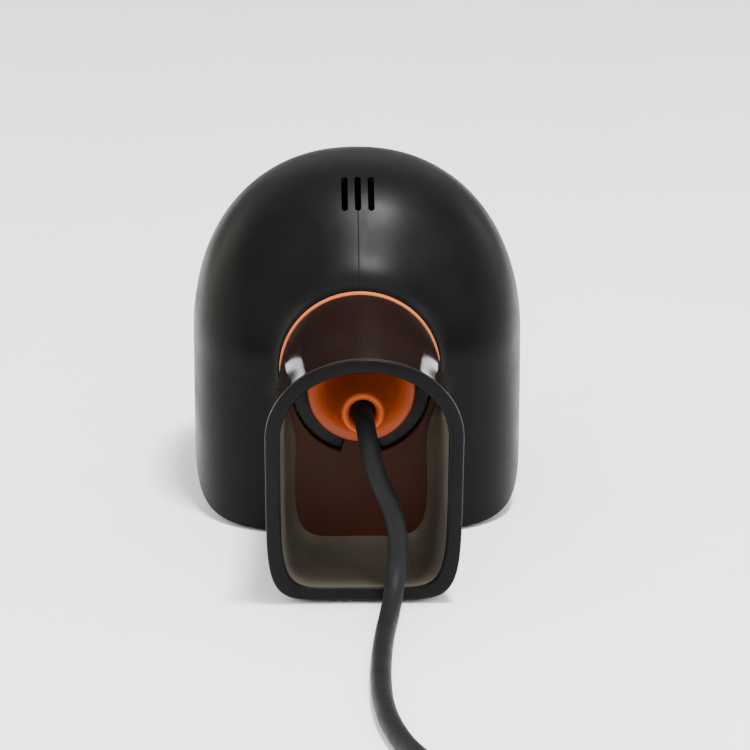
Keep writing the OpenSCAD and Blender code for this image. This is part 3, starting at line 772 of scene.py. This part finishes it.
def face_slab_mesh(name, outline, low, high):
    """A closed outline (x, height up the face) extruded between two depths of the leaning face."""
    rows = []
    for depth in (low, high):
        rows.append([(x, FACE_Y - v * sind(WINDOW_TILT) + depth * cosd(WINDOW_TILT),
                      NECK_Z + v * cosd(WINDOW_TILT) + depth * sind(WINDOW_TILT)) for x, v in outline])
    return capped(name, rows)


def pill_outline(length, width, up, steps=16):
    out = []
    for end in (1, -1):
        for i in range(steps + 1):
            a = (-90 if end > 0 else 90) + 180 * i / steps
            out.append((end * (length - width) / 2 + width / 2 * cosd(a), up + width / 2 * sind(a)))
    return out


LENS_UP = 27.6
LENS_L = 9.2
LENS_W = 2.6
BUTTON_UP = -36.6
BUTTON_L = 13
BUTTON_W = 4.4
SLIT = 0.3

front = piece("head_front", front_bezel_mesh(), "satin_black", "front_bezel")
cut(front, face_slab_mesh("lens_hole", pill_outline(LENS_L, LENS_W, LENS_UP), -12, 4))
cut(front, face_slab_mesh("button_hole", pill_outline(BUTTON_L + 2 * SLIT, BUTTON_W + 2 * SLIT, BUTTON_UP),
                          -14, 4))
sharpen(front.data, 40)

# ---------- neck, outlet and hood ----------

SHOULDER_Y = RING_Y - NECK_L
SHOULDER_R = 16.8
HUB_R = 12.2
BORE_R = 3.2
SPIGOT_R = COLLAR_R - SHELL_T - 0.1
SPIGOT_T = 2.4


def neck_profile():
    """(y, r) round the neck moulding: spigot, coloured ring, shoulder and hub, then the bore."""
    soft = 0.35
    ring = [(COLLAR_Y, SPIGOT_R), (COLLAR_Y, RING_R - soft), (COLLAR_Y - 0.1, RING_R - 0.1),
            (COLLAR_Y - soft, RING_R), (RING_Y + soft, RING_R), (RING_Y + 0.1, RING_R - 0.1),
            (RING_Y, RING_R - soft)]
    return ([(SPIGOT_Y, SPIGOT_R - SPIGOT_T), (SPIGOT_Y, SPIGOT_R)] + ring
            + [(RING_Y, SHOULDER_R), (SHOULDER_Y, SHOULDER_R), (SHOULDER_Y, HUB_R), (HUB_END_Y, HUB_R),
               (HUB_END_Y, BORE_R), (COLLAR_Y, BORE_R), (COLLAR_Y, SPIGOT_R - SPIGOT_T)])


CONE_PROFILE = [
    (1.9, 12.6), (2, 11.6), (2.3, 10.5), (2.9, 9.6), (4, 8.8), (5.6, 8.2), (8.4, 7.4), (12, 6.6),
    (15, 6)]


TIP_R = 4.3
TIP_ROUND = 0.9


def outlet_profile():
    """(y, r) of the volcano-shaped outlet, from its flange to its mouth."""
    cone_l = FLANGE_Y - CONE_Y
    flange = [(0, BORE_R), (0, 12.9), (0.12, 13.15), (0.3, 13.2), (1.5, 13.2), (1.78, 13.1), (1.9, 12.8)]
    tip = [(cone_l - 2, 5.5), (cone_l - TIP_ROUND, TIP_R + TIP_ROUND)]
    cone = smooth_table(CONE_PROFILE + tip, 6)
    lip = [(cone_l - TIP_ROUND + TIP_ROUND * sind(a), TIP_R + TIP_ROUND * cosd(a))
           for a in range(15, 91, 15)]
    mouth = [(cone_l - 0.15, 3.85), (cone_l - 0.5, 3.5), (cone_l - 1.1, BORE_R)]
    return [(FLANGE_Y - along, r) for along, r in flange + cone + lip + mouth]


neck = piece("neck_ring", lathe("neck_ring", neck_profile()), "orange_plastic", "neck_core")
# The ring takes the paler copy of the orange plastic, with painted top light and sheen.
neck.data.materials[0] = RING_ORANGE_PAINTED_SHEEN
piece("cable_volcano", lathe("cable_volcano", outlet_profile()), "orange_plastic", "cable_outlet")


def hood_r_at(a, s, inset):
    """Radius of the hood at angle a and share s of its length, this far inside its skin."""
    u = min(1, s / HEEL)
    drop = math.sqrt(max(0, 1 - (1 - u) ** 2))
    flare = HOOD_FLARE * s**5
    return outline_r(a, mix(HOOD_R, MOUTH_HALF_W - HOOD_FLARE, s) + flare - inset, HOOD_R + flare - inset,
                     mix(HOOD_R, BASE_R, drop) - inset, mix(2, 7, min(1, s * 3)))


# Shares of the hood's length, from its heel to its mouth
COVE_START = 0.275
COVE_END = 0.66
LIP_SHARE = 0.015
COVE = 5
LIP_R = 0.7


def cove_at(s):
    """How far the floor inside rises towards the plate, as a quarter round."""
    if s < COVE_START:
        return 0
    u = min(1, (s - COVE_START) / (COVE_END - COVE_START))
    return COVE * (1 - math.sqrt(1 - (1 - u) ** 2))


def hood_row(s, inset, shift=0, cove=0):
    row = []
    for a in ANGLES:
        r = hood_r_at(a, s, inset) - cove * ease(-sind(a) / 0.8)
        row.append((r * cosd(a), mix(HOOD_Y, MOUTH_Y, s) - r * sind(a) * MOUTH_SLOPE * s + shift,
                    NECK_Z + r * sind(a)))
    return row


def hood_mesh():
    """The hood's outer wall, lip and inner wall, each with its own finish; the inner wall's pale colour is
    painted light through the walls.
    """
    steps = [HEEL * (1 - cosd(90 * k / 16)) for k in range(16)]
    steps += [mix(HEEL, 1 - LIP_SHARE, k / 30) for k in range(31)]
    outer = [hood_row(s, 0) for s in steps]
    lip = [hood_row(1 - LIP_SHARE * (1 - sind(a)), LIP_R * (1 - cosd(a))) for a in (25, 45, 65, 90)]
    lip += [hood_row(1 - LIP_SHARE * (1 - cosd(a)), HOOD_T - LIP_R * (1 - sind(a)))
            for a in (0, 25, 45, 65)]
    inner = [hood_row(s, mix(HEEL_T, HOOD_T, ease((s - 0.3) / 0.7)), -HEEL_T * min(1, s / HEEL) * (1 - s),
                      cove_at(s))
             for s in reversed(steps)]
    mesh = loft("tail_hood", outer + lip + inner)
    starts = len(outer) * len(ANGLES), len(outer + lip) * len(ANGLES)
    for face in mesh.polygons:
        first = min(face.vertices)
        face.material_index = sum(first >= start for start in starts)
    return mesh


hood = piece("tail_hood", hood_mesh(), "smoky_plastic", "hood", body="hood")
hood.data.materials.append(HOOD_LIP)
# The inner wall takes the painted glow: a pale colour standing in for light through the walls.
hood.data.materials.append(HOOD_INSIDE_PAINTED_GLOW)

# ---------- CAD parts that show as they are, with softened edges ----------

BEVELS = {"hood_plate": 0.25, "base_feet": 0.25, "hood_pads": 0.25, "mode_button": 0.3, "scan_window": 0.2,
          "status_lens": 0.2, "plug_shell": 0.1, "base_screws": 0.1, "ballast_plate": 0.3,
          "mirror_wheel": 0.1, "rotor_bell": 0.15, "laser_holder": 0.2, "buzzer": 0.2,
          "optics_carrier": 0.15, "cable_clamp": 0.2, "board_chips": 0.08}
SLOT_OF = {part["node"]: part["material_slot"] for part in frame["record"]["subparts"]}


def dress_cad_nodes():
    """Gives every CAD node that still shows its material, and the larger ones soft edges."""
    for name, node in frame["nodes"].items():
        if node.hide_render:
            continue
        node.data.materials.clear()
        node.data.materials.append(MATERIALS["smoky_plate" if name == "hood_plate" else SLOT_OF[name]])
        if name in BEVELS:
            weld = node.modifiers.new("weld", "WELD")
            weld.merge_threshold = 0.001 * MM
            bevel = node.modifiers.new("bevel", "BEVEL")
            bevel.width = BEVELS[name] * MM
            bevel.segments = 2
            bevel.limit_method = "ANGLE"
            bevel.angle_limit = math.radians(40)


dress_cad_nodes()

# ---------- floor and lights ----------


FLOOR_HALF_M = 4


def add_floor():
    """A plain pale counter top under the object."""
    mesh = bpy.data.meshes.new("floor")
    corners = [(x * FLOOR_HALF_M, y * FLOOR_HALF_M, 0) for x, y in ((-1, -1), (1, -1), (1, 1), (-1, 1))]
    mesh.from_pydata(corners, [], [(0, 1, 2, 3)])
    floor = bpy.data.objects.new("floor", mesh)
    bpy.context.scene.collection.objects.link(floor)
    n = Nodes("floor_white")
    n.colour(n.between(n.noise(60, 3), (0.9, 0.9, 0.9), (0.92, 0.92, 0.92)))
    n.rough(n.spread(n.noise(30, 3), 0.6, 0.7))
    n.set(Specular_IOR_Level=0.2)
    mesh.materials.append(n.material)


def softbox(name, place, aim, width, height, watts, colour=(1, 1, 1)):
    """A rectangular light at a place, turned to face aim."""
    light = bpy.data.lights.new(name, "AREA")
    light.shape = "RECTANGLE"
    light.size = width
    light.size_y = height
    light.energy = watts
    light.color = colour
    obj = bpy.data.objects.new(name, light)
    bpy.context.scene.collection.objects.link(obj)
    obj.location = place
    obj.rotation_euler = (Vector(aim) - Vector(place)).to_track_quat("-Z", "Y").to_euler()
    return obj


GLEAM_PLACE = (21.7, -27, 56)
GLEAM_AIM = (14.5, -66, 61)
GLEAM_SIZE = (2, 8)
GLEAM_WATTS = 0.00013


def hood_gleams():
    """Two small lights that only the hood sees, for the gleams on its flanks behind the mouth."""
    seen_by = bpy.data.collections.new("hood_only")
    seen_by.objects.link(hood)
    for side in (-1, 1):
        place, aim = [Vector((side * x, y, z)) * MM for x, y, z in (GLEAM_PLACE, GLEAM_AIM)]
        gleam = softbox("gleam", place, aim, *[v * MM for v in GLEAM_SIZE], GLEAM_WATTS)
        gleam.data.use_shadow = False
        gleam.visible_camera = False
        gleam.light_linking.receiver_collection = seen_by


def add_world(horizon, zenith):
    """Soft light from all round, strongest overhead."""
    world = bpy.data.worlds.new("studio")
    bpy.context.scene.world = world
    world.use_nodes = True
    tree = world.node_tree
    place = tree.nodes.new("ShaderNodeTexCoord")
    split = tree.nodes.new("ShaderNodeSeparateXYZ")
    shade = tree.nodes.new("ShaderNodeMapRange")
    tree.links.new(place.outputs["Generated"], split.inputs[0])
    tree.links.new(split.outputs["Z"], shade.inputs["Value"])
    for key, number in (("From Min", 0), ("From Max", 1), ("To Min", horizon), ("To Max", zenith)):
        shade.inputs[key].default_value = number
    tree.links.new(shade.outputs["Result"], tree.nodes["Background"].inputs["Strength"])
    tree.nodes["Background"].inputs["Color"].default_value = (1, 1, 1, 1)


add_floor()
add_world(0.25, 1.9)
AIM = (0, 0, NECK_Z * MM)


def studio_place(azimuth, elevation, distance=1.1):
    """A place round the object: azimuth 0 is on the camera's side and 90 on its right."""
    return (distance * sind(azimuth) * cosd(elevation), -distance * cosd(azimuth) * cosd(elevation),
            AIM[2] + distance * sind(elevation))


softbox("key", studio_place(26, 71), AIM, 0.22, 0.16, 26)
softbox("left", studio_place(-100, 10), AIM, 1.6, 1, 12, (1, 0.96, 0.84))
softbox("right", studio_place(100, 10), AIM, 1.6, 1, 9, (0.87, 0.94, 1))
softbox("fill_left", studio_place(-26, 34), AIM, 0.3, 0.3, 3)
softbox("fill_right", studio_place(26, 34), AIM, 0.3, 0.3, 3)
softbox("fill_low", studio_place(8, 7), AIM, 0.5, 0.24, 3)
hood_gleams()
